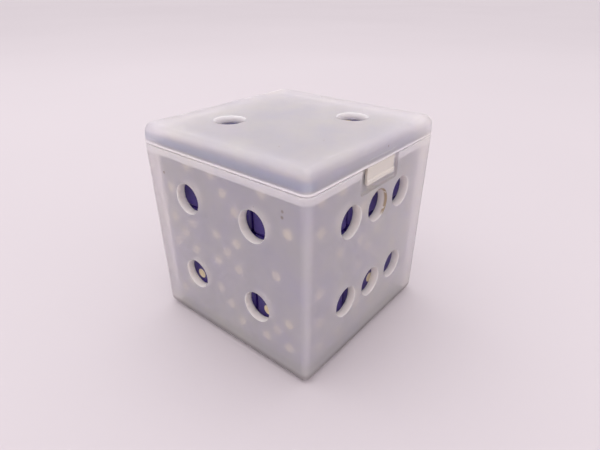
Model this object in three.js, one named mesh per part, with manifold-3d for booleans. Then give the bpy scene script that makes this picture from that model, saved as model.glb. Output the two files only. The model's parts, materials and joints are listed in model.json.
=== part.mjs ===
// A dice-shaped case of frosted plastic with a hinged snap lid, filled with 27 playing dice.
//
// Millimetres, +Z up. The origin is the middle of the case's underside.
// The latch is on the -Y side and the living hinge on the +Y side. Each side of the case, the
// lid and the floor are drilled through with the spots of a die: opposite faces add up to seven.

import * as THREE from 'three';
import { mergeVertices } from 'three/addons/utils/BufferGeometryUtils.js';
import { RoundedBoxGeometry } from 'three/addons/geometries/RoundedBoxGeometry.js';
import Module from 'manifold-3d';

const wasm = await Module();
wasm.setup();

// ---- Driving dimensions ----

// Dice: a block of three by three by three
const DIE = 16;                // edge of one die
const DIE_ROUND = 1.2;         // radius along a die's edges
const SIDE_GAP = 0.4;          // between neighbours in a layer
const LAYER_GAP = 0.1;         // between layers, and under the lowest

// Case
const PLAY = 0.3;              // from the block of dice to the wall
const WALL = 2.6;
const FLOOR = 3.0;
const RIM_Z = 50.5;            // top of the case's rim
const CORNER = 2.4;            // radius of the upright corners
const EDGE_ROUND = 2.3;        // radius along the bottom edges, and along the lid's top edges
const CASE_DRAFT = 0.01;       // how far each side leans in, for each millimetre down from the rim

// Rebate inside the rim, which the lid's tongue drops into
const REBATE_DEPTH = 1.8;
const REBATE_WIDTH = 1.25;
const TONGUE = 0.9;            // thickness of the tongue
const TONGUE_DROP = 1.5;       // how far it reaches below the rim
const TONGUE_PLAY = 0.2;       // between tongue and rebate

// Lid
const SEAM_GAP = 0.1;          // between the rim and the lid's lower edge
const LID_HEIGHT = 5.2;
const LID_TOP = 2.0;           // thickness of the lid's top
const LID_DRAFT = 0.08;        // how far each side leans in, for each millimetre up from the seam

// Spots drilled through the walls
const SPOT_R = 4.1;
const SPOT_PITCH = 11.25;      // from a face's middle to its outer rows and columns
const SPOT_SIDES = 24;

// Latch: a tab on the lid's front edge that lies in a recess of the case's front wall
const RECESS_WIDTH = 16.4;
const RECESS_DROP = 6.2;       // below the rim
const RECESS_DEPTH = 1.0;
const BEAD_WIDTH = 8;
const BEAD_Z = 47.2;
const BEAD_PROUD = 0.1;        // how far the snap bead stands out from the recess
const TAB_WIDTH = 12;
const TAB_DROP = 4.3;          // below the seam
const TAB_THICK = 0.8;
const TAB_CLEAR = 0.2;         // from the recess to the tab
const PAD_RISE = 1.8;          // the thicker pad of the lid that the tab grows from, above the seam
const LIP_HEIGHT = 1.2;        // the thicker lip along the tab's lower edge
const LIP_PROUD = 0.25;

// Living hinge: a thin web folded over the seam at the back
const WEB_WIDTH = 36;
const WEB_THICK = 0.35;
const WEB_GAP = 0.3;           // between the web's two leaves
const WEB_REACH = 0.4;         // from the back wall to the web's fold line

// Gap kept between meshes that belong together, such as the web and the wall it grows from
const JOIN_GAP = 0.1;

// ---- Sizes that follow from them ----

const DIE_PITCH = DIE + SIDE_GAP;
const BLOCK_HALF = (3 * DIE + 2 * SIDE_GAP) / 2;
const INNER_HALF = BLOCK_HALF + PLAY;
const OUTER_HALF = INNER_HALF + WALL;
const SEAM_Z = RIM_Z + SEAM_GAP;
const TOP_Z = SEAM_Z + LID_HEIGHT;
const MID_Z = TOP_Z / 2;
const REBATE_HALF = INNER_HALF + REBATE_WIDTH;
const TONGUE_HALF = REBATE_HALF - TONGUE_PLAY;
const LID_INNER_HALF = TONGUE_HALF - TONGUE;
const RECESS_Y = -(OUTER_HALF - RECESS_DEPTH);
const TAB_BACK = RECESS_Y - TAB_CLEAR;
const TAB_FRONT = TAB_BACK - TAB_THICK;
const FOLD_Y = OUTER_HALF + WEB_REACH;
const FAR = 100;               // longer than anything here, for cutting blocks

// ---- Shape helpers ----

// three.js geometry to manifold solid
function solid(geometry) {
  const g = geometry.clone();
  g.deleteAttribute('normal');
  g.deleteAttribute('uv');
  const merged = mergeVertices(g);
  return new wasm.Manifold(new wasm.Mesh({
    numProp: 3,
    vertProperties: new Float32Array(merged.attributes.position.array),
    triVerts: new Uint32Array(merged.index.array),
  }));
}

// manifold solid back to three.js geometry
function geometryOf(body) {
  const mesh = body.getMesh();
  const g = new THREE.BufferGeometry();
  g.setAttribute('position', new THREE.BufferAttribute(new Float32Array(mesh.vertProperties), 3));
  g.setIndex(new THREE.BufferAttribute(new Uint32Array(mesh.triVerts), 1));
  g.computeVertexNormals();
  return g;
}

// Square with rounded corners, in the XY plane about the origin
function roundedSquare(half, corner) {
  const s = new THREE.Shape();
  const c = half - corner;
  s.absarc(c, -c, corner, -Math.PI / 2, 0);
  s.absarc(c, c, corner, 0, Math.PI / 2);
  s.absarc(-c, c, corner, Math.PI / 2, Math.PI);
  s.absarc(-c, -c, corner, Math.PI, 1.5 * Math.PI);
  s.closePath();
  return s;
}

// Upright block on a rounded square, from z0 to z1, with its end edges rounded by edge
function block(half, corner, z0, z1, edge = 0) {
  const g = new THREE.ExtrudeGeometry(roundedSquare(half, corner), {
    depth: z1 - z0 - 2 * edge,
    curveSegments: 5,
    bevelEnabled: edge > 0,
    bevelSize: edge,
    bevelThickness: edge,
    bevelOffset: -edge,
    bevelSegments: 4,
  });
  return g.translate(0, 0, z0 + edge);
}

// Leans the sides of a block: slope millimetres a side for each millimetre above atZ
function leaning(geometry, half, slope, atZ) {
  const p = geometry.attributes.position;
  for (let i = 0; i < p.count; i++) {
    const k = 1 + slope * (p.getZ(i) - atZ) / half;
    p.setXY(i, p.getX(i) * k, p.getY(i) * k);
  }
  return geometry;
}

// Box between two corners
function box(low, high) {
  const g = new THREE.BoxGeometry(high[0] - low[0], high[1] - low[1], high[2] - low[2]);
  return g.translate((low[0] + high[0]) / 2, (low[1] + high[1]) / 2, (low[2] + high[2]) / 2);
}

// Outline in the YZ plane, carried along X from -width/2 to width/2
function alongX(outline, width) {
  const g = new THREE.ExtrudeGeometry(outline, { depth: width, bevelEnabled: false, curveSegments: 8 });
  // the outline's own x and y become y and z, and its depth becomes x
  g.applyMatrix4(new THREE.Matrix4().makeBasis(
    new THREE.Vector3(0, 1, 0), new THREE.Vector3(0, 0, 1), new THREE.Vector3(1, 0, 0)));
  return g.translate(-width / 2, 0, 0);
}

// ---- Spots ----

// Places on a face, in steps of SPOT_PITCH across and up
const SPOTS = {
  one: [[0, 0]],
  two: [[-1, 1], [1, -1]],
  three: [[-1, 1], [0, 0], [1, -1]],
  four: [[-1, -1], [1, -1], [-1, 1], [1, 1]],
  five: [[-1, -1], [1, -1], [-1, 1], [1, 1], [0, 0]],
  six: [[-1, -1], [0, -1], [1, -1], [-1, 1], [0, 1], [1, 1]],
};

// Each drilled face: its outward normal, the directions that count as across and up, its middle
const X = new THREE.Vector3(1, 0, 0);
const Y = new THREE.Vector3(0, 1, 0);
const Z = new THREE.Vector3(0, 0, 1);
const FACES = {
  front: { out: Y.clone().negate(), across: X, up: Z, at: [0, -OUTER_HALF, MID_Z], spots: SPOTS.six },
  back: { out: Y, across: X, up: Z, at: [0, OUTER_HALF, MID_Z], spots: SPOTS.one },
  left: { out: X.clone().negate(), across: Y, up: Z, at: [-OUTER_HALF, 0, MID_Z], spots: SPOTS.four },
  right: { out: X, across: Y, up: Z, at: [OUTER_HALF, 0, MID_Z], spots: SPOTS.three },
  underside: { out: Z.clone().negate(), across: X, up: Y, at: [0, 0, 0], spots: SPOTS.five },
  top: { out: Z, across: X, up: Y, at: [0, 0, TOP_Z], spots: SPOTS.two },
};

// The drills for one face, as solids
function drills(face) {
  const reach = 2 * (WALL + FLOOR);
  const turn = new THREE.Quaternion().setFromUnitVectors(Y, face.out);
  return face.spots.map(([across, up]) => {
    const at = new THREE.Vector3(...face.at)
      .addScaledVector(face.across, across * SPOT_PITCH)
      .addScaledVector(face.up, up * SPOT_PITCH);
    const g = new THREE.CylinderGeometry(SPOT_R, SPOT_R, reach, SPOT_SIDES);
    return solid(g.applyQuaternion(turn).translate(at.x, at.y, at.z));
  });
}

function drilled(body, faces) {
  return faces.flatMap(drills).reduce((left, drill) => left.subtract(drill), body);
}

// ---- Pieces ----

// The case: a box open at the top, with a rebate inside its rim and a recess for the latch
function caseBody() {
  const outer = solid(leaning(
    block(OUTER_HALF, CORNER, 0, RIM_Z + 2 * EDGE_ROUND, EDGE_ROUND), OUTER_HALF, CASE_DRAFT, RIM_Z));
  const above = solid(box([-FAR, -FAR, RIM_Z], [FAR, FAR, FAR]));
  const cavity = solid(block(INNER_HALF, 1, FLOOR, FAR));
  const rebate = solid(block(REBATE_HALF, CORNER - (OUTER_HALF - REBATE_HALF), RIM_Z - REBATE_DEPTH, FAR));
  const recess = solid(box(
    [-RECESS_WIDTH / 2, -FAR, RIM_Z - RECESS_DROP], [RECESS_WIDTH / 2, RECESS_Y, FAR]));
  // sunk in the wall, so that only its front stands out from the recess
  const beadRadius = 3 * BEAD_PROUD;
  const bead = solid(new THREE.CylinderGeometry(beadRadius, beadRadius, BEAD_WIDTH, 12)
    .rotateZ(Math.PI / 2).translate(0, RECESS_Y - BEAD_PROUD + beadRadius, BEAD_Z));
  const shell = outer.subtract(above).subtract(cavity).subtract(rebate).subtract(recess).add(bead);
  return drilled(shell, [FACES.front, FACES.back, FACES.left, FACES.right, FACES.underside]);
}

// The lid: a shallow tray upside down, with a thin tongue all round that drops into the rebate,
// and a pad on its front that the latch tab grows from
function caseLid() {
  const outer = solid(leaning(
    block(OUTER_HALF, CORNER, SEAM_Z - 2 * EDGE_ROUND, TOP_Z, EDGE_ROUND), OUTER_HALF, -LID_DRAFT, SEAM_Z));
  const below = solid(box([-FAR, -FAR, -FAR], [FAR, FAR, SEAM_Z]));
  const tongue = solid(block(
    TONGUE_HALF, CORNER - (OUTER_HALF - TONGUE_HALF), RIM_Z - TONGUE_DROP, SEAM_Z + 1));
  const pad = solid(box(
    [-TAB_WIDTH / 2, TAB_FRONT, SEAM_Z], [TAB_WIDTH / 2, -LID_INNER_HALF, SEAM_Z + PAD_RISE]));
  const hollow = solid(block(LID_INNER_HALF, 1, -1, TOP_Z - LID_TOP));
  return drilled(outer.subtract(below).add(tongue).add(pad).subtract(hollow), [FACES.top]);
}

// The latch tab: a strip that hangs from the lid's front edge into the recess, with a finger lip
function latchTab() {
  const low = SEAM_Z - TAB_DROP;
  const lip = TAB_FRONT - LIP_PROUD;
  const outline = new THREE.Shape([
    [TAB_BACK, low + 0.3],
    [TAB_BACK, RIM_Z],
    [TAB_FRONT, RIM_Z],
    [TAB_FRONT, low + LIP_HEIGHT + LIP_PROUD],
    [lip, low + LIP_HEIGHT],
    [lip, low + 0.3],
    [lip + 0.3, low],
    [TAB_BACK - 0.3, low],
  ].map(([y, z]) => new THREE.Vector2(y, z)));
  return alongX(outline, TAB_WIDTH);
}

// The living hinge: a strip that leaves the rim, folds over the seam and meets the lid
function livingHinge() {
  const inner = WEB_GAP / 2;
  const outer = inner + WEB_THICK;
  const root = OUTER_HALF + JOIN_GAP;
  const middle = (RIM_Z + SEAM_Z) / 2;
  const s = new THREE.Shape();
  s.moveTo(root, middle - outer);
  s.lineTo(FOLD_Y, middle - outer);
  s.absarc(FOLD_Y, middle, outer, -Math.PI / 2, Math.PI / 2, false);
  s.lineTo(root, middle + outer);
  s.lineTo(root, middle + inner);
  s.lineTo(FOLD_Y, middle + inner);
  s.absarc(FOLD_Y, middle, inner, Math.PI / 2, -Math.PI / 2, true);
  s.lineTo(root, middle - inner);
  s.closePath();
  return alongX(s, WEB_WIDTH);
}

// ---- The assembly ----

const frosted = { color: 0xd9d2d6, roughness: 0.45, metalness: 0, transparent: true, opacity: 0.5 };
const indigo = { color: 0x2a2064, roughness: 0.3, metalness: 0 };

function piece(name, geometry, look) {
  const mesh = new THREE.Mesh(geometry, new THREE.MeshStandardMaterial(look));
  mesh.name = name;
  return mesh;
}

const dicedCase = new THREE.Group();
dicedCase.add(piece('case_body', geometryOf(caseBody()), frosted));
dicedCase.add(piece('case_lid', geometryOf(caseLid()), frosted));
dicedCase.add(piece('latch_tab', latchTab(), frosted));
dicedCase.add(piece('living_hinge', livingHinge(), frosted));

const LAYERS = ['low', 'middle', 'high'];
const ROWS = ['front', 'centre', 'back'];
const COLUMNS = ['left', 'inner', 'right'];
LAYERS.forEach((layer, k) => ROWS.forEach((row, j) => COLUMNS.forEach((column, i) => {
  const rounded = new RoundedBoxGeometry(DIE, DIE, DIE, 1, DIE_ROUND);
  const die = piece(`die_${layer}_${row}_${column}`, rounded, indigo);
  die.position.set(
    (i - 1) * DIE_PITCH,
    (j - 1) * DIE_PITCH,
    FLOOR + LAYER_GAP + DIE / 2 + k * (DIE + LAYER_GAP));
  dicedCase.add(die);
})));

export default dicedCase;
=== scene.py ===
# %% [markdown]
# # A die-shaped case, packed with dice
#
# The object is a small box moulded in milky, frosted plastic. It is drilled with the spots of a die
# on all six faces, closes with a hinged snap lid, and is filled with 27 indigo dice.
# The lesson goes from the camera to the shells, then to the small moving parts, the dice and the
# finishes, and ends with motion and light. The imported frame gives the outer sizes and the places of
# the pieces; what a box around a piece can't tell, such as a wall's thickness, is named here.

# %% Open the frame
import json
import math

import bpy
import numpy as np
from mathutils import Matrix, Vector

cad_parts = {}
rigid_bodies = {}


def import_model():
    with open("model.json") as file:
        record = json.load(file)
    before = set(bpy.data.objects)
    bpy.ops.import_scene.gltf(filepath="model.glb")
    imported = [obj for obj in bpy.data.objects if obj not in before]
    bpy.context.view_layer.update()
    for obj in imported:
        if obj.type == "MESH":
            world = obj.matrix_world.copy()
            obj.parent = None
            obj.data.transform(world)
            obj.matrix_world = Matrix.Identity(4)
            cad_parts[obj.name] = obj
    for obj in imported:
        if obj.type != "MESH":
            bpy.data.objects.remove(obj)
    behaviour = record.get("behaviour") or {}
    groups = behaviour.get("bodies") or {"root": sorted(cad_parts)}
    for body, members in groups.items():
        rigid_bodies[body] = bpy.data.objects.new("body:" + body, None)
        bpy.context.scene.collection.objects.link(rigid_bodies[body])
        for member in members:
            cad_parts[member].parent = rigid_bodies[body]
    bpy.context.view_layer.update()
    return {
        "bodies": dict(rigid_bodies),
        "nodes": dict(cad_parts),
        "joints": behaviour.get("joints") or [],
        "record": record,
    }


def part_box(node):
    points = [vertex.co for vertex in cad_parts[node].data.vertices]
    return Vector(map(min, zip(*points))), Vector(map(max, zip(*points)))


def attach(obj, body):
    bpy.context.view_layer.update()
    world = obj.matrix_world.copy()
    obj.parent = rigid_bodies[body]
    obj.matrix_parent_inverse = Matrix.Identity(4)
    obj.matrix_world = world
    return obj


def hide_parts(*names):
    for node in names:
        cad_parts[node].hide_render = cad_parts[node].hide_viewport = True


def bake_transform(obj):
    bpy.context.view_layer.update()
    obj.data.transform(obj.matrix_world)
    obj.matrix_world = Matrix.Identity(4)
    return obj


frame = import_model()

# %% [markdown]
# The outer sizes come from the boxes round four of the frame's own solids: the case, its lid, the
# latch tab and the hinge web. The boxes of the dice are read further down, where the dice are made.

# %% Read the driving sizes
MM = 0.001
case_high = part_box("case_body")[1]
lid_low, lid_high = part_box("case_lid")
tab_low, tab_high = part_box("latch_tab")
web_low, web_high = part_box("living_hinge")
OUTER = case_high.x
RIM = case_high.z
TOP = lid_high.z
SEAM_GAP = 0.1 * MM
SEAM = RIM + SEAM_GAP
MID = TOP / 2
WIDTH = 2 * OUTER
print(f"case {WIDTH / MM:.1f} mm wide, rim at {RIM / MM:.1f} mm, {TOP / MM:.1f} mm tall")

# %% [markdown]
# ## Camera
#
# A small thing on a table is seen from close by, so the lens is wide and the upright edges run
# together downwards. The camera stands 1.6 case widths left of the middle, 1.4 in front and 1.6 up.

# %% Camera
camera = bpy.data.objects.new("camera", bpy.data.cameras.new("camera"))
bpy.context.scene.collection.objects.link(camera)
camera.data.lens = 27.4
camera.data.sensor_width = 36
camera.data.clip_start, camera.data.clip_end = 0.005, 50
camera.location = Vector((-1.6242, -1.3928, 1.6099)) * WIDTH
HEADING, DIP = math.radians(50.43), math.radians(28.54)
gaze = Vector((math.sin(HEADING) * math.cos(DIP), math.cos(HEADING) * math.cos(DIP), -math.sin(DIP)))
camera.rotation_euler = gaze.to_track_quat("-Z", "Y").to_euler()
bpy.context.scene.camera = camera
print(f"camera {camera.location.length / MM:.0f} mm from the middle of the case's foot")

# %% [markdown]
# ## Meshes from arrays
#
# Every piece but the dice is a stack of rings: a short outline in numpy, repeated at other sizes and
# heights, and skinned with four-sided faces. One helper turns such a stack into a closed mesh.

# %% Rings to mesh
def add_mesh(name, points, faces):
    """A mesh object at the origin from an array of points and a list of faces."""
    mesh = bpy.data.meshes.new(name)
    mesh.from_pydata(points, [], faces)
    mesh.update()
    thing = bpy.data.objects.new(name, mesh)
    bpy.context.scene.collection.objects.link(thing)
    return thing


def skinned(name, rings):
    """rings[i, j] is point j of ring i. Neighbouring rings are joined by quads, and each end ring is
    closed by a fan about its own middle, so the surface has no open edge."""
    count, around = rings.shape[:2]
    middles = rings[[0, -1]].mean(axis=1)
    index = np.arange(count * around).reshape(count, around)
    onward = np.roll(index, -1, axis=1)
    quads = np.stack([index[:-1], onward[:-1], onward[1:], index[1:]], axis=-1).reshape(-1, 4)
    first = np.stack([onward[0], index[0], np.full(around, count * around)], axis=-1)
    last = np.stack([index[-1], onward[-1], np.full(around, count * around + 1)], axis=-1)
    points = np.concatenate([rings.reshape(-1, 3), middles])
    return add_mesh(name, points, quads.tolist() + first.tolist() + last.tolist())


# %% [markdown]
# Moulded plastic has no sharp corner anywhere. An outline is given by its corner points with a
# radius each, and every corner is replaced by an arc that touches both of its straights.

# %% Rounded outlines
def softened(corners, steps=5, closed=False):
    """corners are rows of (across, up, radius). With turn = the angle between the two straights, the
    arc starts radius * tan(turn / 2) before the corner, and its spoke turns evenly through turn."""
    c = np.array(corners, float)
    p = np.vstack([c[-1:], c, c[:1]]) if closed else c
    run = np.diff(p[:, :2], axis=0)
    run /= np.linalg.norm(run, axis=1)[:, None]
    u, v = run[:-1], run[1:]
    turn = np.arctan2(u[:, 0] * v[:, 1] - u[:, 1] * v[:, 0], (u * v).sum(1))
    radius = p[1:-1, 2]
    start = p[1:-1, :2] - u * (radius * np.tan(abs(turn) / 2))[:, None]
    spoke = -np.sign(turn)[:, None] * np.stack([-u[:, 1], u[:, 0]], 1) * radius[:, None]
    angle = turn[:, None] * np.linspace(0, 1, steps + 1)
    cos, sin = np.cos(angle), np.sin(angle)
    x = (start - spoke)[:, None, 0] + cos * spoke[:, None, 0] - sin * spoke[:, None, 1]
    y = (start - spoke)[:, None, 1] + sin * spoke[:, None, 0] + cos * spoke[:, None, 1]
    arcs = np.stack([x, y], -1).reshape(-1, 2)
    return arcs if closed else np.vstack([p[:1, :2], arcs, p[-1:, :2]])


def square_rings(profile, corner, least_corner, steps=8):
    """Carries a profile of (half width, height) rows round a square with round corners. Point k of a
    ring is (half - r) * its quadrant's sign + r * (cos a_k, sin a_k); r shrinks with the half width,
    so that walls keep their thickness round the corners."""
    half, height = profile[:, 0:1], profile[:, 1:2]
    r = np.clip(corner - (half.max() - half), least_corner, None)
    quadrant = np.repeat(np.arange(4), steps + 1)
    a = quadrant * math.pi / 2 + np.tile(np.linspace(0, math.pi / 2, steps + 1), 4)
    sx = np.array([1, -1, -1, 1])[quadrant]
    sy = np.array([1, 1, -1, -1])[quadrant]
    x = (half - r) * sx + r * np.cos(a)
    y = (half - r) * sy + r * np.sin(a)
    return np.stack([x, y, np.broadcast_to(height, x.shape)], axis=-1)


# %% [markdown]
# ## The shells
#
# A moulded box could be a cube with Solidify and Bevel, but its wall has a story: it leans a little so
# that it leaves the mould, it steps back inside the rim to take the lid's tongue, and each edge has
# a radius of its own. So both shells are a profile, drawn as a maker draws a section, carried round.

# %% Section of the case
WALL, FLOOR = 2.6 * MM, 3.0 * MM
CASE_LEAN, LID_LEAN = 0.01, 0.08
RIM_WALL, REBATE_DEPTH = 1.35 * MM, 1.8 * MM
REBATE_HALF = OUTER - RIM_WALL
CORNER, INNER_CORNER = 2.4 * MM, 1.0 * MM
EDGE_ROUND, INNER_ROUND = 2.3 * MM, 0.9 * MM
# how far inside its edge the last ring of a flat lies; a fan closes the rest
FLAT_RING, LID_FLAT_RING = 6 * MM, 8 * MM
INNER = OUTER - WALL

case_section = softened([
    (OUTER - CASE_LEAN * RIM - FLAT_RING, 0, 0),
    (OUTER - CASE_LEAN * RIM, 0, EDGE_ROUND),
    (OUTER, RIM, 0.3 * MM),
    (REBATE_HALF, RIM, 0.25 * MM),
    (REBATE_HALF, RIM - REBATE_DEPTH, 0.15 * MM),
    (INNER, RIM - REBATE_DEPTH, 0.25 * MM),
    (INNER, FLOOR, INNER_ROUND),
    (INNER - FLAT_RING, FLOOR, 0),
], steps=6)
case_shell = skinned("case_shell", square_rings(case_section, CORNER, INNER_CORNER))

# %% [markdown]
# The lid is a shallow tray turned upside down. Its tongue hangs below the seam, inside the case's
# rim. Both edges are rounded at the seam, and the finish turns milky there, so it reads as a bright
# line.

# %% Section of the lid
TONGUE_PLAY, TONGUE = 0.2 * MM, 0.9 * MM
TONGUE_HALF = REBATE_HALF - TONGUE_PLAY
LID_INNER = TONGUE_HALF - TONGUE
LID_TOP = 2.0 * MM
TONGUE_LOW = lid_low.z

lid_section = softened([
    (LID_INNER - FLAT_RING, TOP - LID_TOP, 0),
    (LID_INNER, TOP - LID_TOP, INNER_ROUND),
    (LID_INNER, TONGUE_LOW, 0.3 * MM),
    (TONGUE_HALF, TONGUE_LOW, 0.3 * MM),
    (TONGUE_HALF, SEAM, 0.1 * MM),
    (OUTER, SEAM, 0.35 * MM),
    (OUTER - LID_LEAN * (TOP - SEAM), TOP, EDGE_ROUND),
    (OUTER - LID_FLAT_RING, TOP, 0),
], steps=6)
lid_shell = skinned("lid_shell", square_rings(lid_section, CORNER, INNER_CORNER))
print("sections:", len(case_section), "and", len(lid_section), "points")

# %% [markdown]
# ## The drilled spots
#
# Each spot is a hole right through the wall with both rims eased. Cutting it with a spool, a drill
# that flares at the wall's two faces, gives the hole and its soft rims in one boolean.

# %% Where the spots go
SPOT_R, SPOT_PITCH = 4.1 * MM, 11.25 * MM
RIM_OUT, RIM_IN = 0.12 * MM, 0.08 * MM
DIAGONAL = [(-1, 1), (1, -1)]
SQUARE = [(-1, -1), (1, -1), (-1, 1), (1, 1)]
SPOTS = {1: [(0, 0)], 2: DIAGONAL, 3: DIAGONAL + [(0, 0)], 4: SQUARE, 5: SQUARE + [(0, 0)],
         6: SQUARE + [(0, -1), (0, 1)]}
X, Y, Z = np.eye(3)


def lean_half(z):
    """Half width of the case's outside at height z."""
    return OUTER - CASE_LEAN * (RIM - z)


def spool(outer, inner, rim_out, rim_in, around=72):
    """Rings of a drill along +Z: a cylinder whose two ends flare by a quarter circle, so that its
    radius is R + rim - rim * cos t at a depth of rim * (1 - sin t) under each face."""
    t = np.linspace(0, math.pi / 2, 7)
    flare_in = np.stack([SPOT_R + rim_in - rim_in * np.cos(t), inner + rim_in * (1 - np.sin(t))], -1)[::-1]
    flare_out = np.stack([SPOT_R + rim_out - rim_out * np.cos(t), outer - rim_out * (1 - np.sin(t))], -1)
    past = 1.5 * MM
    section = np.vstack([
        [flare_in[0, 0], inner - past], flare_in, flare_out, [flare_out[-1, 0], outer + past]])
    a = np.linspace(0, 2 * math.pi, around, endpoint=False)
    radius, depth = section[:, 0:1], section[:, 1:2]
    height = np.broadcast_to(depth, (len(section), around))
    return np.stack([radius * np.cos(a), radius * np.sin(a), height], -1)


def face_drills(count, across, up, middle, outer_at, inner):
    """Spools for one face. across and up span the face, and the drill points along across x up.
    outer_at(z) is how far the face lies from middle, along the drill, at that height."""
    out = np.cross(across, up)
    rings = []
    for i, j in SPOTS[count]:
        centre = middle + across * i * SPOT_PITCH + up * j * SPOT_PITCH
        local = spool(outer_at(centre[2]), inner, RIM_OUT, RIM_IN)
        turned = local[..., 0:1] * across + local[..., 1:2] * up + local[..., 2:3] * out
        rings.append(turned + centre)
    return rings


half_way_up = MID * Z
case_drills = (
    face_drills(6, X, Z, half_way_up, lean_half, INNER)
    + face_drills(1, -X, Z, half_way_up, lean_half, INNER)
    + face_drills(4, -Y, Z, half_way_up, lean_half, INNER)
    + face_drills(3, Y, Z, half_way_up, lean_half, INNER)
    + face_drills(5, -X, Y, 0 * Z, lambda z: 0.0, -FLOOR)
)
lid_drills = face_drills(2, X, Y, 0 * Z, lambda z: TOP, TOP - LID_TOP)
print("drills:", len(case_drills), "in the case and", len(lid_drills), "in the lid")

# %% [markdown]
# The latch tab lies in a shallow recess in the front wall, open at the rim. Its cutter is a pad with
# rounded corners that reaches into the wall and stops short of going through it.

# %% Recess for the latch
RECESS_HALF, RECESS_LOW, RECESS_DEPTH = 8.2 * MM, RIM - 6.2 * MM, 1.0 * MM
RECESS_Y = -(OUTER - RECESS_DEPTH)


def pad_rings(low, high, corner, profile, steps=6):
    """Rings of a pad that faces -Y: a rectangle in X and Z with round corners, shrunk by profile's
    first column and set at the y of its second."""
    shape = softened([(low[0], low[1], corner), (high[0], low[1], corner),
                      (high[0], high[1], corner), (low[0], high[1], corner)], steps, closed=True)
    middle = (np.array(low) + high) / 2
    half = (np.array(high) - low) / 2
    inset, y = profile[:, 0], profile[:, 1]
    scale = 1 - inset[:, None, None] / half
    flat = middle + (shape - middle) * scale
    return np.stack([flat[..., 0], np.broadcast_to(y[:, None], flat.shape[:2]), flat[..., 1]], -1)


arc = np.linspace(0, math.pi / 2, 6)
EASE = 0.3 * MM
recess_profile = np.vstack([
    np.stack([EASE * (1 - np.sin(arc)), RECESS_Y - EASE * (1 - np.cos(arc))], -1),
    [[0, -OUTER - 3 * MM]],
])
recess_cutter = pad_rings((-RECESS_HALF, RECESS_LOW), (RECESS_HALF, RIM + 4 * MM), 0.8 * MM, recess_profile)
print(f"recess {2 * RECESS_HALF / MM:.1f} mm wide and {RECESS_DEPTH / MM:.1f} mm deep")

# %% [markdown]
# One boolean takes all the cutters of a shell at once: they don't touch each other, so they can share
# a mesh. The result is read back from Blender as the piece's own mesh, and the cutters go.

# %% Cut the shells
def volume_of(thing):
    """Signed volume: a sixth of the sum of a . (b x c) over the triangles."""
    mesh = thing.data
    mesh.calc_loop_triangles()
    points = np.empty(len(mesh.vertices) * 3)
    mesh.vertices.foreach_get("co", points)
    corners = np.empty(len(mesh.loop_triangles) * 3, int)
    mesh.loop_triangles.foreach_get("vertices", corners)
    a, b, c = points.reshape(-1, 3)[corners.reshape(-1, 3)].transpose(1, 0, 2)
    return float((a * np.cross(b, c)).sum() / 6)


def reshape(thing, ring_sets, way):
    """Subtracts closed ring stacks from a thing, or joins them to it, and keeps the result."""
    cutters = []
    for number, rings in enumerate(ring_sets):
        cutter = skinned(f"cutter_{number}", rings)
        if volume_of(cutter) < 0:
            cutter.data.flip_normals()
        cutters.append(cutter)
    if len(cutters) > 1:
        with bpy.context.temp_override(active_object=cutters[0], selected_editable_objects=cutters):
            bpy.ops.object.join()
    boolean = thing.modifiers.new("shape", "BOOLEAN")
    boolean.operation, boolean.solver, boolean.object = way, "EXACT", cutters[0]
    bpy.context.view_layer.update()
    settled = bpy.data.meshes.new_from_object(thing.evaluated_get(bpy.context.evaluated_depsgraph_get()))
    thing.modifiers.clear()
    thing.data = settled
    bpy.data.objects.remove(cutters[0])
    print(f"{thing.name}: {len(settled.polygons)} faces, {volume_of(thing) * 1e6:.2f} cm3")


for shell in (case_shell, lid_shell):
    print(shell.name, "before cutting:", round(volume_of(shell) * 1e6, 2), "cm3")
reshape(case_shell, case_drills + [recess_cutter], "DIFFERENCE")
reshape(lid_shell, lid_drills, "DIFFERENCE")

# %% [markdown]
# The latch tab grows from a pad on the lid's front edge. The pad stands in the lid's leaning wall and
# meets its foot flush, and it is joined to the lid so that the two are one body of plastic.

# %% Pad for the tab
PAD_RISE, PAD_EASE, PAD_ROOT = 1.8 * MM, 0.25 * MM, 0.2 * MM
pad_profile = np.vstack([
    [[0, -LID_INNER - PAD_ROOT]],
    np.stack([PAD_EASE * (1 - np.cos(arc)), -OUTER + PAD_EASE * (1 - np.sin(arc))], -1),
])
lid_pad = pad_rings((-tab_high.x, SEAM), (tab_high.x, SEAM + PAD_RISE), 0.3 * MM, pad_profile)
reshape(lid_shell, [lid_pad], "UNION")

# %% [markdown]
# ## Latch tab, snap bead and hinge web
#
# The tab is a strip drawn from the side: it hangs from the lid's lower edge, runs down inside the
# recess, level with the wall, and ends in a thicker lip for a fingernail. Its outline is carried
# across, pulled in at both ends.

# %% Side outline to solid
def slab(name, outline, half_width, ease, middle_steps=1):
    """Carries a closed outline in Y and Z along X. Within ease of each end the outline moves inwards
    along its own normals by ease * (1 - sin t) while x runs ease * (1 - cos t) from the end."""
    tangent = np.roll(outline, -1, axis=0) - np.roll(outline, 1, axis=0)
    normal = np.stack([tangent[:, 1], -tangent[:, 0]], -1)
    normal /= np.linalg.norm(normal, axis=1)[:, None]
    t = np.linspace(0, math.pi / 2, 5)
    x_end = -half_width + ease * (1 - np.cos(t))
    inset_end = ease * (1 - np.sin(t))
    between = np.linspace(-half_width + ease, half_width - ease, middle_steps + 1)[1:-1]
    x = np.concatenate([x_end, between, -x_end[::-1]])
    inset = np.concatenate([inset_end, 0 * between, inset_end[::-1]])
    yz = outline - normal * inset[:, None, None]
    rings = np.concatenate([np.broadcast_to(x[:, None, None], yz.shape[:2] + (1,)), yz], -1)
    thing = skinned(name, rings)
    if volume_of(thing) < 0:
        thing.data.flip_normals()
    return thing


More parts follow.
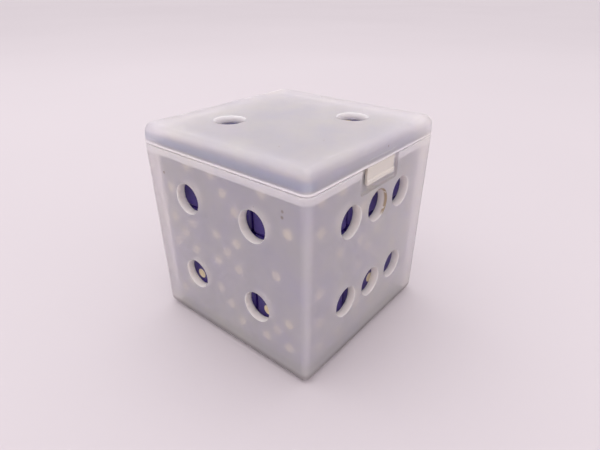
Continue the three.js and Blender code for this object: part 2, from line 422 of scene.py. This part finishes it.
# %% Latch tab
LIP, LIP_HEIGHT = 0.25 * MM, 1.2 * MM
tab_front, tab_back = tab_low.y + LIP, tab_high.y
tab_outline = softened([
    (tab_back, tab_low.z, 0.3 * MM),
    (tab_back, SEAM, 0.02 * MM),
    (tab_front, SEAM, 0.02 * MM),
    (tab_front, tab_low.z + LIP_HEIGHT + LIP, 0.2 * MM),
    (tab_low.y, tab_low.z + LIP_HEIGHT, 0.2 * MM),
    (tab_low.y, tab_low.z, 0.3 * MM),
], steps=4, closed=True)
tab = slab("latch_tab_shaped", tab_outline, tab_high.x, 0.3 * MM)

# %% [markdown]
# The snap bead is a short round rib across the recess, sunk into its floor until only a sliver stands
# proud. It is a circle seen from the side, so the same helper carries it across.

# %% Snap bead
bead_angle = np.linspace(0, 2 * math.pi, 24, endpoint=False)
BEAD_R, BEAD_PROUD, BEAD_Z, BEAD_HALF = 0.3 * MM, 0.1 * MM, 47.2 * MM, 4 * MM
bead_outline = np.stack([
    RECESS_Y - BEAD_PROUD + BEAD_R * (1 + np.cos(bead_angle)), BEAD_Z + BEAD_R * np.sin(bead_angle)], -1)
bead = slab("snap_bead", bead_outline, BEAD_HALF, 0.2 * MM)

# %% [markdown]
# The hinge is the same plastic, thinned until it bends: a web that leaves the case, folds over the
# seam and meets the lid. Its section is a hairpin of even thickness.

# %% Hinge web
web_outer = (web_high.z - web_low.z) / 2
WEB_THICK, WEB_ROOT = 0.35 * MM, 0.05 * MM
web_inner = web_outer - WEB_THICK
fold_y, fold_z = web_high.y - web_outer, (web_high.z + web_low.z) / 2
sweep = np.linspace(-math.pi / 2, math.pi / 2, 17)
leaf = np.linspace(OUTER - WEB_ROOT, fold_y, 7)[:-1]


def hairpin(radius):
    """One side of the web: along the lower leaf, round the fold's half circle and back on the upper
    leaf."""
    y = np.concatenate([leaf, fold_y + radius * np.cos(sweep), leaf[::-1]])
    z = np.concatenate([0 * leaf - radius, radius * np.sin(sweep), 0 * leaf + radius]) + fold_z
    return np.stack([y, z], -1)


web = slab("hinge_web", np.vstack([hairpin(web_outer), hairpin(web_inner)[::-1]]), web_high.x, 0.1 * MM, 12)
for small in (tab, bead, web):
    print(f"{small.name}: {volume_of(small) * 1e9:.1f} mm3")

# %% [markdown]
# ## Dice
#
# A die is a cube with rounded edges and a shallow dimple for each spot. Each of its six faces is a
# grid; a point of the grid is pushed from the cube's flat side onto the rounding, then sunk where a
# dimple is. The distance to the nearest spot stays on the mesh, so that the paint can follow it.

# %% One die as arrays
DIE = (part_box("die_low_front_left")[1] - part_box("die_low_front_left")[0]).x
DIE_ROUND, PIP_R, PIP_PITCH, PIP_DEPTH = 1.2 * MM, 1.45 * MM, 3.75 * MM, 0.32 * MM
FLAT_CELLS, ROUND_CELLS = 44, 4

# faces of a die: spots, across, up; across x up points out, and opposite faces add up to seven
DIE_FACES = [(1, X, Y), (6, -X, Y), (2, X, Z), (5, -X, Z), (3, Y, Z), (4, -Y, Z)]


def grid_line():
    """Places along a face: even steps on the flat, and round * tan(a) for even angles a past it."""
    flat = DIE / 2 - DIE_ROUND
    past = flat + DIE_ROUND * np.tan(np.linspace(0, math.pi / 4, ROUND_CELLS + 1)[1:])
    return np.concatenate([-past[::-1], np.linspace(-flat, flat, FLAT_CELLS + 1), past])


def die_face(spots, across, up):
    """Points, and distance to the nearest spot in spot radii, for one face. With q on the cube and
    c = q held within the flat, the rounded point is c + round * (q - c) / |q - c|, and the dimple
    sinks it by depth * (1 - distance ** 2) ** 1.5 inside a spot."""
    out = np.cross(across, up)
    line = grid_line()
    a, b = np.meshgrid(line, line)
    q = a[..., None] * across + b[..., None] * up + out * DIE / 2
    c = np.clip(q, DIE_ROUND - DIE / 2, DIE / 2 - DIE_ROUND)
    away = (q - c) / np.linalg.norm(q - c, axis=-1, keepdims=True)
    places = np.array(SPOTS[spots]) * PIP_PITCH
    distance = np.hypot(a[..., None] - places[:, 0], b[..., None] - places[:, 1]).min(-1) / PIP_R
    sunk = PIP_DEPTH * np.clip(1 - distance**2, 0, None) ** 1.5
    return c + DIE_ROUND * away - out * sunk[..., None], distance


def die_arrays():
    """Points, quads and spot distances of a whole die, with the six faces' shared edges merged."""
    made = [die_face(*face) for face in DIE_FACES]
    points = np.concatenate([p.reshape(-1, 3) for p, _ in made])
    distance = np.concatenate([d.ravel() for _, d in made])
    n = len(grid_line())
    cell = np.arange(n * n).reshape(n, n)
    quad = np.stack([cell[:-1, :-1], cell[:-1, 1:], cell[1:, 1:], cell[1:, :-1]], -1).reshape(-1, 4)
    quads = np.concatenate([quad + k * n * n for k in range(len(made))])
    key = np.round(points / (1e-3 * MM)).astype(int)
    _, keep, where = np.unique(key, axis=0, return_index=True, return_inverse=True)
    return points[keep], where.ravel()[quads], distance[keep]


die_points, die_quads, die_distance = die_arrays()
print(f"a die: {len(die_points)} points, {len(die_quads)} quads")

# %% [markdown]
# Every die can lie in 24 ways. Most dice behind the left and front walls, and one under the lid, are
# asked for a number on a side; the turns that show it are listed and one is drawn. The others are
# thrown freely. Both draws come from one fixed seed, so the case is packed the same way each time.

# %% Turn the dice
SIDES = {"left": -X, "front": -Y, "top": Z}


def all_turns():
    """The 24 turns of a cube: for each way to send X and Y to two different axes, Z is their product."""
    axes = [X, -X, Y, -Y, Z, -Z]
    return [np.array([a, b, np.cross(a, b)]) for a in axes for b in axes if abs(a @ b) < 0.5]


def shows(turn, side, spots, run=None):
    """True if a die under this turn (rows are the images of X, Y and Z) has these spots on that side,
    and if its diagonal, or a six's rows of three, run along the line asked for."""
    across, up = next((a, u) for number, a, u in DIE_FACES if number == spots)
    if np.cross(across, up) @ turn @ SIDES[side] < 0.5:
        return False
    if run is None:
        return True
    own = {2: up - across, 3: up - across, 6: across}[spots] @ turn
    return abs(own @ run) > 0.9 * np.linalg.norm(own) * np.linalg.norm(run)


READS = {
    "die_high_front_left": {"left": (2, Z + Y), "front": (4,)},
    "die_high_centre_left": {"left": (3, Z + Y)},
    "die_high_back_left": {"left": (2, Z - Y)},
    "die_middle_front_left": {"left": (1,), "front": (2, Z + X)},
    "die_middle_centre_left": {"left": (5,)},
    "die_middle_back_left": {"left": (5,)},
    "die_low_front_left": {"left": (5,), "front": (4,)},
    "die_low_centre_left": {"left": (3, Z + Y)},
    "die_low_back_left": {"left": (3, Z - Y)},
    "die_middle_front_inner": {"front": (5,)},
    "die_middle_front_right": {"front": (4,)},
    "die_low_front_right": {"front": (2, Z + X)},
    "die_high_centre_inner": {"top": (6, X)},
}
TURNS = all_turns()
throw = np.random.default_rng(27)
dice = []
for name in sorted(n for n in frame["nodes"] if n.startswith("die_")):
    low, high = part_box(name)
    wanted = READS.get(name, {})
    fitting = [t for t in TURNS if all(shows(t, side, *read) for side, read in wanted.items())]
    turn = fitting[throw.integers(len(fitting))]
    die = add_mesh(name + "_spotted", die_points @ turn + np.array((low + high) / 2), die_quads.tolist())
    paint = die.data.attributes.new("spot_distance", "FLOAT", "POINT")
    paint.data.foreach_set("value", die_distance.astype(np.float32))
    dice.append((die, name))
print("dice:", len(dice), "first volume", round(volume_of(dice[0][0]) * 1e6, 3), "cm3")

# %% [markdown]
# ## Finishes
#
# Two plastics make the whole object: the milky one of case, lid, latch and hinge, and the indigo one
# of the dice. Each is a node material that varies a little with the place on the piece, because a
# finish with one even value looks like a drawing. The helpers below keep each material short.

# %% Node helpers
def material(name):
    """A new node material with its Principled shader."""
    made = bpy.data.materials.new(name)
    made.use_nodes = True
    return made, made.node_tree, made.node_tree.nodes["Principled BSDF"]


def node(tree, kind, **settings):
    """A node with its attributes or inputs set by name."""
    made = tree.nodes.new(kind)
    for key, value in settings.items():
        if hasattr(made, key):
            setattr(made, key, value)
        else:
            made.inputs[key.replace("_", " ")].default_value = value
    return made


def noise(tree, scale, detail=2.0):
    """Noise on the piece's own object coordinates; scale counts features per metre."""
    where = node(tree, "ShaderNodeTexCoord")
    made = node(tree, "ShaderNodeTexNoise", Scale=scale, Detail=detail)
    tree.links.new(where.outputs["Object"], made.inputs["Vector"])
    return made.outputs["Fac"]


def ramp(tree, source, stops):
    """A colour ramp: stops are (position, (r, g, b))."""
    made = node(tree, "ShaderNodeValToRGB")
    line = made.color_ramp
    while len(line.elements) < len(stops):
        line.elements.new(0.5)
    for element, (position, colour) in zip(line.elements, stops):
        element.position = position
        element.color = (*colour, 1)
    tree.links.new(source, made.inputs["Fac"])
    return made.outputs["Color"]


def spread(tree, source, low, high):
    """Maps a 0 to 1 value onto low to high."""
    made = node(tree, "ShaderNodeMapRange")
    made.inputs["To Min"].default_value = low
    made.inputs["To Max"].default_value = high
    tree.links.new(source, made.inputs["Value"])
    return made.outputs["Result"]


def grain(tree, shader, source, height):
    """Bump of the given height in metres."""
    made = node(tree, "ShaderNodeBump", Distance=height)
    made.inputs["Strength"].default_value = 1.0
    tree.links.new(source, made.inputs["Height"])
    tree.links.new(made.outputs["Normal"], shader.inputs["Normal"])


# %% [markdown]
# Frosted polypropylene lets rather more than half the light through and scatters or throws back the
# rest. Through the flat of a wall the dice show as blurred shapes; at a corner, along the lid's edge
# and at the seam the eye looks through more plastic, and it turns to milk. Splitting the mesh there
# would draw a hard line, so the milk is worked out in the material from the place, and it fades.

# %% Helpers for the thickness
def maths(tree, way, a, b):
    """One math node on two values or sockets."""
    made = node(tree, "ShaderNodeMath", operation=way)
    for socket, value in zip(made.inputs, (a, b)):
        if isinstance(value, bpy.types.NodeSocket):
            tree.links.new(value, socket)
        else:
            socket.default_value = value
    return made.outputs["Value"]


def fade(tree, source, start, end, top=1.0):
    """0 before start, top after end, and a smooth S curve between; start may be past end."""
    made = node(tree, "ShaderNodeMapRange", interpolation_type="SMOOTHSTEP")
    for name, value in (("From Min", min(start, end)), ("From Max", max(start, end)),
                        ("To Min", 0 if start < end else top), ("To Max", top if start < end else 0)):
        made.inputs[name].default_value = value
    tree.links.new(source, made.inputs["Value"])
    return made.outputs["Result"]


CORNER_MILK, FRAME_MILK, BAND_MILK = 0.25, 0.12, 0.5


def milkiness(tree):
    """How much the plastic turns to milk, 0 to 1. With near = the smaller and far = the larger of
    |x| and |y|, a corner is where near is large, the lid's frame where far and z are both large, and
    the seam is a thin line with a fainter band as deep as the rebate under it."""
    place = node(tree, "ShaderNodeSeparateXYZ")
    tree.links.new(node(tree, "ShaderNodeTexCoord").outputs["Object"], place.inputs["Vector"])
    x, y = (maths(tree, "ABSOLUTE", place.outputs[axis], 0) for axis in "XY")
    z = place.outputs["Z"]
    near, far = maths(tree, "MINIMUM", x, y), maths(tree, "MAXIMUM", x, y)
    corner = fade(tree, near, INNER, OUTER - 0.4 * MM, CORNER_MILK)
    frame = maths(tree, "MULTIPLY", fade(tree, far, OUTER - 5 * MM, INNER),
                  fade(tree, z, SEAM + 1.8 * MM, SEAM + 4.8 * MM, FRAME_MILK))
    foot = maths(tree, "MULTIPLY", fade(tree, z, RIM, SEAM),
                 fade(tree, z, SEAM + 0.9 * MM, SEAM + 0.5 * MM))
    band = maths(tree, "MULTIPLY", fade(tree, z, RIM - 1.9 * MM, RIM - 1.7 * MM),
                 fade(tree, z, SEAM, RIM, BAND_MILK))
    return maths(tree, "MAXIMUM", maths(tree, "MAXIMUM", corner, frame), maths(tree, "MAXIMUM", foot, band))


# %% [markdown]
# Three marks go into the colour; two of them are painted shade and one is dirt. Fine milk scatters blue
# more than red, so a cool band shows on the lid's side where there is only air behind it, and it is
# also made darker, most on the left side, as painted shade. The floor of the case is a thick slab that
# stands in its own shade, so a band of painted shade runs along the foot of each wall. And a handled
# box gathers tan dirt: a thin broken arc beside one bore, two smudges and a few specks.

# %% Cool tint with painted shade, painted shade at the foot, and dirt
# the smudges on the left wall: y, z and radius of each
SMUDGES = [(-20.6 * MM, 46.0 * MM, 0.55 * MM), (-20.5 * MM, 44.6 * MM, 0.6 * MM)]


def blended(tree, amount, first, second):
    """first where amount is 0, second where it is 1; each is a colour or a socket."""
    made = node(tree, "ShaderNodeMix", data_type="RGBA")
    tree.links.new(amount, made.inputs["Factor"])
    for socket, value in ((made.inputs["A"], first), (made.inputs["B"], second)):
        if isinstance(value, bpy.types.NodeSocket):
            tree.links.new(value, socket)
        else:
            socket.default_value = (*value, 1)
    return made.outputs["Result"]


def cool_tint_and_shade(tree):
    """Cool tint of the milk and painted shade, up to 0.8 on the left side of the lid, between the seam's
    bright foot and the milkier frame above; the other sides have a third of it."""
    place = node(tree, "ShaderNodeSeparateXYZ")
    tree.links.new(node(tree, "ShaderNodeTexCoord").outputs["Object"], place.inputs["Vector"])
    x, z = place.outputs["X"], place.outputs["Z"]
    band = maths(tree, "MULTIPLY", fade(tree, z, SEAM + 0.7 * MM, SEAM + 1.5 * MM, 0.8),
                 fade(tree, z, SEAM + 4.0 * MM, SEAM + 2.2 * MM))
    left = fade(tree, x, -OUTER + 6 * MM, -OUTER + 1 * MM)
    return maths(tree, "MULTIPLY", band, maths(tree, "MAXIMUM", left, 0.33))


def painted_foot_shade(tree):
    """Painted shade, 0.75 along the foot of the walls, fading out at the height of the case's floor."""
    place = node(tree, "ShaderNodeSeparateXYZ")
    tree.links.new(node(tree, "ShaderNodeTexCoord").outputs["Object"], place.inputs["Vector"])
    return fade(tree, place.outputs["Z"], FLOOR + 0.4 * MM, FLOOR - 1.2 * MM, 0.75)


def from_point(tree, a, b):
    """Distance from the origin of two coordinates: the root of a squared plus b squared."""
    squares = maths(tree, "ADD", maths(tree, "MULTIPLY", a, a), maths(tree, "MULTIPLY", b, b))
    return maths(tree, "SQRT", squares, 0)


def dirt(tree):
    """How much dirt covers the plastic, 0 to 0.85: on a circle at the rim of the front wall's upper
    middle bore, broken up by noise and kept to its upper right; in two smudges on the left wall; and
    where a noise passes a mark."""
    place = node(tree, "ShaderNodeSeparateXYZ")
    tree.links.new(node(tree, "ShaderNodeTexCoord").outputs["Object"], place.inputs["Vector"])
    x, y, z = (place.outputs[axis] for axis in "XYZ")
    above = maths(tree, "SUBTRACT", z, MID + SPOT_PITCH)
    off = maths(tree, "ABSOLUTE", maths(tree, "SUBTRACT", from_point(tree, x, above), SPOT_R + RIM_OUT), 0)
    at_front = fade(tree, y, -OUTER + 1 * MM, -OUTER + 0.5 * MM)
    ring = maths(tree, "MULTIPLY", fade(tree, off, 0.26 * MM, 0.10 * MM), at_front)
    ring = maths(tree, "MULTIPLY", ring, fade(tree, maths(tree, "ADD", x, above), -2 * MM, 1 * MM))
    found = maths(tree, "MULTIPLY", ring, fade(tree, noise(tree, 900, 3), 0.30, 0.50, 0.85))
    found = maths(tree, "MAXIMUM", found, fade(tree, noise(tree, 420, 1), 0.80, 0.83, 0.6))
    at_left = fade(tree, x, -OUTER + 1.5 * MM, -OUTER + 1 * MM)
    for smudge_y, smudge_z, size in SMUDGES:
        far = from_point(tree, maths(tree, "SUBTRACT", y, smudge_y), maths(tree, "SUBTRACT", z, smudge_z))
        smudge = maths(tree, "MULTIPLY", fade(tree, far, size, size / 4, 0.55), at_left)
        found = maths(tree, "MAXIMUM", found, smudge)
    return found


# %% [markdown]
# The same plastic gets five settings, by where it is. The outer wall lets much through; its inner face
# is nearly clear, so that the light isn't scattered twice. A bore shows the wall end on, so it is
# nearly solid milk. Light spreads furthest in the lid's bores, as the lid round them is lit from above.
# The tab lies in front of more plastic, so it lets less through and looks cream; the bead and the web
# share its setting.

# %% Frosted plastic
# the dirt's tan; the lid side's cool tint, darkened as painted shade; and the painted shade at the foot of
# the walls
TAN_DIRT, COOL_TINT_AND_SHADE, FOOT_SHADE_COLOUR = (0.36, 0.25, 0.12), (0.76, 0.79, 0.90), (0.50, 0.45, 0.46)


def frosted(name, passes, roughness, milk, pale, deep, reach=2 * MM, outer_wall=False, soiled=False):
    """Milky plastic: passes is the share of light that goes through, milk the share of the rest that
    scatters under the surface, and reach how far it spreads there. Where an outer wall turns
    fully to milk, it passes a fifth as much."""
    made, tree, shader = material(name)
    colour = ramp(tree, noise(tree, 90, 4), [(0.3, deep), (0.7, pale)])
    if outer_wall:
        # painted shade: the lid's side gets a cool tint and is made darker, most on the left
        colour = blended(tree, cool_tint_and_shade(tree), colour, COOL_TINT_AND_SHADE)
        # painted shade along the foot of each wall, where the thick floor stands in its own shade
        colour = blended(tree, painted_foot_shade(tree), colour, FOOT_SHADE_COLOUR)
        through = spread(tree, milkiness(tree), passes, passes / 5)
        tree.links.new(through, shader.inputs["Transmission Weight"])
    else:
        shader.inputs["Transmission Weight"].default_value = passes
    if soiled:
        colour = blended(tree, dirt(tree), colour, TAN_DIRT)
    tree.links.new(colour, shader.inputs["Base Color"])
    frost = spread(tree, noise(tree, 400, 3), roughness - 0.05, roughness + 0.05)
    tree.links.new(frost, shader.inputs["Roughness"])
    shader.inputs["IOR"].default_value = 1.25
    shader.inputs["Subsurface Weight"].default_value = milk
    shader.inputs["Subsurface Radius"].default_value = (1.0, 0.95, 0.95)
    shader.inputs["Subsurface Scale"].default_value = reach
    grain(tree, shader, noise(tree, 2500, 1), 0.008 * MM)
    return made


frost_wall = frosted("frost_wall", passes=0.62, roughness=0.50, milk=0.4,
                     pale=(0.96, 0.91, 0.88), deep=(0.88, 0.84, 0.89), outer_wall=True, soiled=True)
frost_bore = frosted("frost_bore", passes=0.08, roughness=0.5, milk=0.7,
                     pale=(0.90, 0.85, 0.81), deep=(0.86, 0.81, 0.77), soiled=True)
frost_lid_bore = frosted("frost_lid_bore", passes=0.05, roughness=0.5, milk=1.0,
                         pale=(0.88, 0.82, 0.81), deep=(0.84, 0.78, 0.77), reach=5 * MM)
frost_inside = frosted("frost_inside", passes=1.0, roughness=0.15, milk=0.0,
                       pale=(0.99, 0.98, 0.98), deep=(0.98, 0.96, 0.97))
frost_tab = frosted("frost_tab", passes=0.2, roughness=0.5, milk=0.6,
                    pale=(0.84, 0.77, 0.70), deep=(0.79, 0.72, 0.64))
print("frosted settings:", sorted(m.name for m in bpy.data.materials if m.name.startswith("frost_")))

# %% [markdown]
# The dice are polished indigo with cream paint in their dimples. The paint could be a mesh of its own,
# but real paint has no thickness to speak of, so it is a colour that follows the distance to the
# nearest spot, with a narrow soft edge where the brush stopped.

# %% Indigo and cream
die_plastic, tree, shader = material("die_indigo_and_cream")
distance = node(tree, "ShaderNodeAttribute")
distance.attribute_name = "spot_distance"
edge = node(tree, "ShaderNodeMapRange")
edge.inputs["From Min"].default_value = 0.90
edge.inputs["From Max"].default_value = 0.98
tree.links.new(distance.outputs["Fac"], edge.inputs["Value"])
cream = ramp(tree, noise(tree, 700, 3), [(0.3, (0.60, 0.50, 0.31)), (0.7, (0.72, 0.62, 0.42))])
indigo = ramp(tree, noise(tree, 150, 4), [(0.3, (0.016, 0.005, 0.10)), (0.7, (0.030, 0.010, 0.17))])
both = node(tree, "ShaderNodeMix", data_type="RGBA")
tree.links.new(edge.outputs["Result"], both.inputs["Factor"])
tree.links.new(cream, both.inputs["A"])
tree.links.new(indigo, both.inputs["B"])
tree.links.new(both.outputs["Result"], shader.inputs["Base Color"])
tree.links.new(spread(tree, noise(tree, 500, 3), 0.25, 0.4), shader.inputs["Roughness"])

# %% [markdown]
# Moulded pieces are smooth but for their real edges. Weighting the normals by face size keeps the long
# flat walls flat beside their small rounded edges.

# %% Smooth shading and facts about faces
def smooth(thing, degrees=35):
    """Smooth shading, kept sharp only past an angle."""
    mesh = thing.data
    mesh.polygons.foreach_set("use_smooth", np.ones(len(mesh.polygons), bool))
    mesh.set_sharp_from_angle(angle=math.radians(degrees))
    even = thing.modifiers.new("even_normals", "WEIGHTED_NORMAL")
    even.keep_sharp = True


def face_facts(thing):
    """Centres and normals of a thing's faces as arrays."""
    mesh = thing.data
    centres, normals = np.empty((2, len(mesh.polygons) * 3))
    mesh.polygons.foreach_get("center", centres)
    mesh.polygons.foreach_get("normal", normals)
    return centres.reshape(-1, 3), normals.reshape(-1, 3)


# %% [markdown]
# A face belongs to a bore if its middle lies no further from that bore's axis than the eased rim, and
# if it isn't flat across that axis. The rest of a shell is its inside, if it faces the dice, or its
# outer wall.

# %% Which faces are bores and insides
def in_a_bore(centre, normal, sides):
    """sides are rows of (count, across, up, middle). Distance from an axis is the length of the
    offset's parts along across and up; the nearest axis on a face counts, on that face's own half."""
    found = np.zeros(len(centre), bool)
    for count, across, up, middle in sides:
        out = np.cross(across, up)
        offset = centre - middle
        flat = np.stack([offset @ across, offset @ up], -1)
        places = np.array(SPOTS[count]) * SPOT_PITCH
        nearest = np.linalg.norm(flat[:, None] - places, axis=-1).min(1)
        close = nearest < SPOT_R + 0.8 * RIM_OUT
        found |= close & (np.abs(normal @ out) < 0.95) & (centre @ out > (middle @ out) * 0.5 - FLOOR)
    return found


case_sides = [(6, X, Z, half_way_up - OUTER * Y), (1, -X, Z, half_way_up + OUTER * Y),
              (4, -Y, Z, half_way_up - OUTER * X), (3, Y, Z, half_way_up + OUTER * X), (5, -X, Y, 0 * Z)]
lid_sides = [(2, X, Y, TOP * Z)]
WALL_FACE, BORE_FACE, INNER_FACE = 0, 1, 2
SKIN = 1 * MM
for shell, sides, floor_up, bore in ((case_shell, case_sides, 1, frost_bore),
                                     (lid_shell, lid_sides, -1, frost_lid_bore)):
    for plastic in (frost_wall, bore, frost_inside):
        shell.data.materials.append(plastic)
    centre, normal = face_facts(shell)
    sideways = np.abs(centre[:, :2]).max(1)
    inward = (centre[:, :2] * normal[:, :2]).sum(1) < -0.5 * sideways
    level = (normal[:, 2] * floor_up > 0.7) & (sideways < INNER) & (centre[:, 2] > SKIN)
    level &= centre[:, 2] < TOP - SKIN
    wall_inside = inward & (sideways < REBATE_HALF + 0.1 * MM) & (sideways > LID_INNER - 1.5 * MM)
    finish = np.where(wall_inside | level, INNER_FACE, WALL_FACE)
    finish[in_a_bore(centre, normal, sides)] = BORE_FACE
    shell.data.polygons.foreach_set("material_index", finish.astype(np.int32))
    smooth(shell)
    print(shell.name, "wall, bore and inner faces:", np.bincount(finish, minlength=3).tolist())
for small in (tab, bead, web):
    small.data.materials.append(frost_tab)
    smooth(small)
for die, _ in dice:
    die.data.materials.append(die_plastic)
    smooth(die, 80)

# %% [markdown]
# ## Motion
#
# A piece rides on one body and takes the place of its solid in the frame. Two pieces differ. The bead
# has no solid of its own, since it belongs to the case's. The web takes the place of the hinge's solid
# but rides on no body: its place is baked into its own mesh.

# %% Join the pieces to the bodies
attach(case_shell, "case")
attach(bead, "case")
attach(lid_shell, "lid")
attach(tab, "latch")
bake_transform(web)
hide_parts("case_body")
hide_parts("case_lid")
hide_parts("latch_tab")
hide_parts("living_hinge")
for die, name in dice:
    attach(die, "case")
    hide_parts(name)
print("pieces joined to a body:", len(dice) + len((case_shell, bead, lid_shell, tab, web)))

# %% [markdown]
# ## Floor and light
#
# The floor is a sheet of pale paper. A milky thing is shown best by light from all round, so the world
# itself is bright and faintly pink, and one large soft lamp overhead brightens the lid a little more
# than the walls.

# %% Floor and light
reach = 6.0
floor_corners = np.array([[-1, -1, 0], [1, -1, 0], [1, 1, 0], [-1, 1, 0]]) * reach
floor = add_mesh("floor", floor_corners, [[0, 1, 2, 3]])
paper, tree, shader = material("pale_paper")
paper_colour = ramp(tree, noise(tree, 3, 2), [(0.3, (0.60, 0.55, 0.575)), (0.7, (0.62, 0.57, 0.595))])
tree.links.new(paper_colour, shader.inputs["Base Color"])
shader.inputs["Roughness"].default_value = 0.6
floor.data.materials.append(paper)

world = bpy.data.worlds.new("studio")
bpy.context.scene.world = world
world.use_nodes = True
world.node_tree.nodes["Background"].inputs["Color"].default_value = (1.0, 0.95, 0.98, 1)
world.node_tree.nodes["Background"].inputs["Strength"].default_value = 1.08


def soft_box(name, place, aim, size, power):
    """A square area lamp at place, facing aim."""
    lamp = bpy.data.objects.new(name, bpy.data.lights.new(name, "AREA"))
    bpy.context.scene.collection.objects.link(lamp)
    lamp.data.shape, lamp.data.size, lamp.data.energy = "SQUARE", size, power
    lamp.location = place
    lamp.rotation_euler = (Vector(aim) - Vector(place)).to_track_quat("-Z", "Y").to_euler()
    return lamp


soft_box("overhead", place=(-0.05, 0.15, 0.7), aim=(0, 0, 0.03), size=0.8, power=1.8)
bpy.context.scene.view_settings.view_transform = "Standard"
